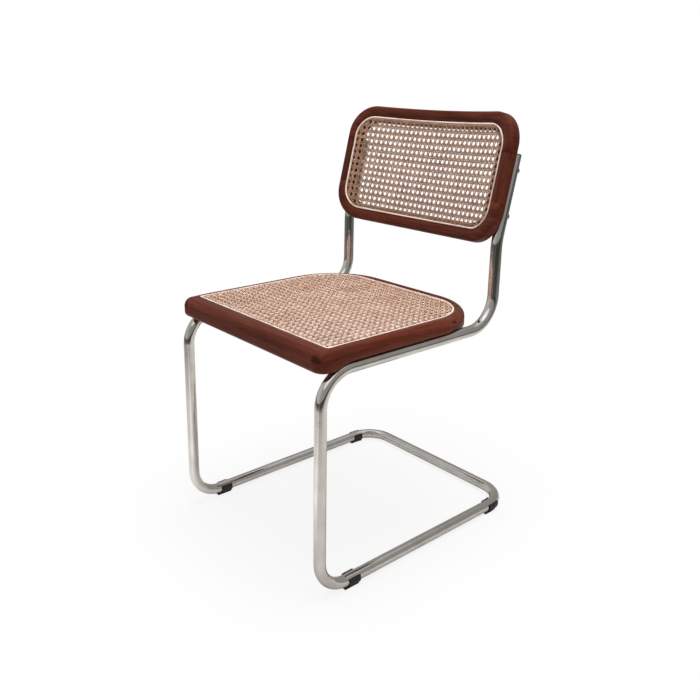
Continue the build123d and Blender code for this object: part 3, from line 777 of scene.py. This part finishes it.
def studio_floor():
    """White paper on a grey floor. The camera sees plain white, a little darker in the chair's shadow close to it.
    For the chrome the floor's colour has painted light and shade: painted shade darkens it towards the camera's side
    of the studio and away from the chair, and a painted patch of light lightens it to the front left.
    From below it is clear, so that the underside can be looked at."""
    material, tree, shader = new_material("studio_floor", roughness=0.9)
    place = object_place(tree)
    path = add_node(tree, "ShaderNodeLightPath").outputs
    away = add_node(tree, "ShaderNodeVectorMath", {0: place}, operation="LENGTH").outputs["Value"]
    to_camera = dot_product(tree, place, (0.38, -0.325, 0.0))
    to_front_left = dot_product(tree, place, (-0.80, -0.60, 0.0))
    # Painted light and shade in the colour the chrome sees: grey darkens towards the camera's side, lit is a painted
    # patch of light to the front left, and near is painted falloff that darkens the floor away from the chair.
    grey = add_ramp(tree, to_camera, [(0.05, (0.66, 0.65, 0.63, 1)), (0.54, (0.58, 0.555, 0.52, 1)),
                                      (0.68, (0.34, 0.325, 0.30, 1)), (0.84, (0.12, 0.113, 0.105, 1))])
    lit = add_ramp(tree, to_front_left, [(0.10, black), (0.34, white), (0.64, (0.2, 0.2, 0.2, 1))])
    near = add_ramp(tree, add_math(tree, "MULTIPLY", away, 0.4), [(0.34, white), (0.80, (0.34, 0.34, 0.34, 1))])
    glossy_floor_painted = mix_colours(tree, mix_colours(tree, grey, (1.0, 1.0, 0.99, 1.0), lit, "MIX"), near)
    sheet = mix_colours(tree, (0.82, 0.82, 0.81, 1.0), glossy_floor_painted, path["Is Glossy Ray"], "MIX")
    tree.links.new(sheet, shader.inputs["Base Color"])
    plain = add_range(tree, away, 0.30, 0.80, 0.84, 1.0, interpolation_type="SMOOTHSTEP")
    seen = add_math(tree, "MULTIPLY", path["Is Camera Ray"], plain)
    paper = add_node(tree, "ShaderNodeEmission", {"Color": white, "Strength": 1.0})
    above = add_node(tree, "ShaderNodeMixShader", {0: seen, 1: shader.outputs["BSDF"], 2: paper.outputs["Emission"]})
    below = add_node(tree, "ShaderNodeNewGeometry").outputs["Backfacing"]
    clear = add_node(tree, "ShaderNodeBsdfTransparent").outputs["BSDF"]
    both = add_node(tree, "ShaderNodeMixShader", {0: below, 1: above.outputs["Shader"], 2: clear})
    tree.links.new(both.outputs["Shader"], tree.nodes["Material Output"].inputs["Surface"])
    return material


floor_mesh = bpy.data.meshes.new("studio_floor")
floor_mesh.from_pydata([(-floor_half, -floor_half, 0), (floor_half, -floor_half, 0),
                        (floor_half, floor_half, 0), (-floor_half, floor_half, 0)], [], [(0, 1, 2, 3)])
floor_mesh.materials.append(studio_floor())
floor = bpy.data.objects.new("studio_floor", floor_mesh)
bpy.context.scene.collection.objects.link(floor)


def studio_walls(tree):
    """The studio round the chair, by direction: grey walls, paler to the front left, and a pale ceiling.
    The chrome also mirrors a lit screen over the front, and the camera sees plain white."""
    tree.nodes.clear()
    sky = add_node(tree, "ShaderNodeTexCoord").outputs["Generated"]
    path = add_node(tree, "ShaderNodeLightPath").outputs
    to_front_left = dot_product(tree, sky, (-0.72, -0.69, 0.0))
    upwards = dot_product(tree, sky, (0.0, 0.0, 1.0))
    over_front = dot_product(tree, sky, (0.25, -0.43, 0.87))
    wall = add_ramp(tree, add_range(tree, to_front_left, -1.0, 1.0),
                    [(0.20, (0.34, 0.335, 0.33, 1)), (0.50, (0.36, 0.352, 0.344, 1)),
                     (0.72, (0.38, 0.372, 0.364, 1)), (0.95, (0.60, 0.60, 0.59, 1))])
    ceiling = add_ramp(tree, upwards, [(0.70, black), (0.93, (0.48, 0.48, 0.48, 1))])
    screen = add_ramp(tree, over_front, [(0.86, black), (0.91, (0.62, 0.62, 0.61, 1))])
    overhead = mix_colours(tree, ceiling, screen, path["Is Glossy Ray"], "ADD")
    studio = add_node(tree, "ShaderNodeBackground", {"Color": mix_colours(tree, wall, overhead, 1.0, "ADD")})
    backdrop = add_node(tree, "ShaderNodeBackground", {"Color": white})
    seen = add_node(tree, "ShaderNodeMixShader", {0: path["Is Camera Ray"], 1: studio.outputs["Background"],
                                                  2: backdrop.outputs["Background"]})
    add_node(tree, "ShaderNodeOutputWorld", {"Surface": seen.outputs["Shader"]})


world = bpy.data.worlds.new("studio")
bpy.context.scene.world = world
world.use_nodes = True
studio_walls(world.node_tree)


def aim(thing, place, target):
    """Puts a light or camera in its place, turned to face the target."""
    thing.location = place
    thing.rotation_euler = (Vector(target) - thing.location).to_track_quat("-Z", "Y").to_euler()
    bpy.context.scene.collection.objects.link(thing)


def soft_light(name, place, size, power):
    """A round soft light that faces the middle of the chair, and that the chrome shows only as the studio."""
    lamp = bpy.data.lights.new(name, "AREA")
    lamp.shape, lamp.size, lamp.energy = "DISK", size, power
    light = bpy.data.objects.new(name, lamp)
    light.visible_glossy = False
    aim(light, place, (0.0, 0.0, 0.4))


soft_light("top_light", (0.1, 0.1, 2.8), 1.8, 53.0)
soft_light("left_light", (-2.0, -1.5, 1.7), 1.3, 8.0)
soft_light("right_light", (2.2, 0.2, 1.6), 1.1, 13.0)

# The camera stands in front of the chair's left corner, a little above the back.
# Its place and its lens are those that bring the chair's outline onto the photo's.
lens = bpy.data.cameras.new("camera")
lens.sensor_width, lens.lens, lens.shift_y = 36.0, 39.98, -0.0735
camera = bpy.data.objects.new("camera", lens)
aim(camera, (1.1577, -0.9905, 0.9014), (0.0595, -0.0533, 0.4881))
bpy.context.scene.camera = camera
bpy.context.scene.view_settings.view_transform = "Standard"
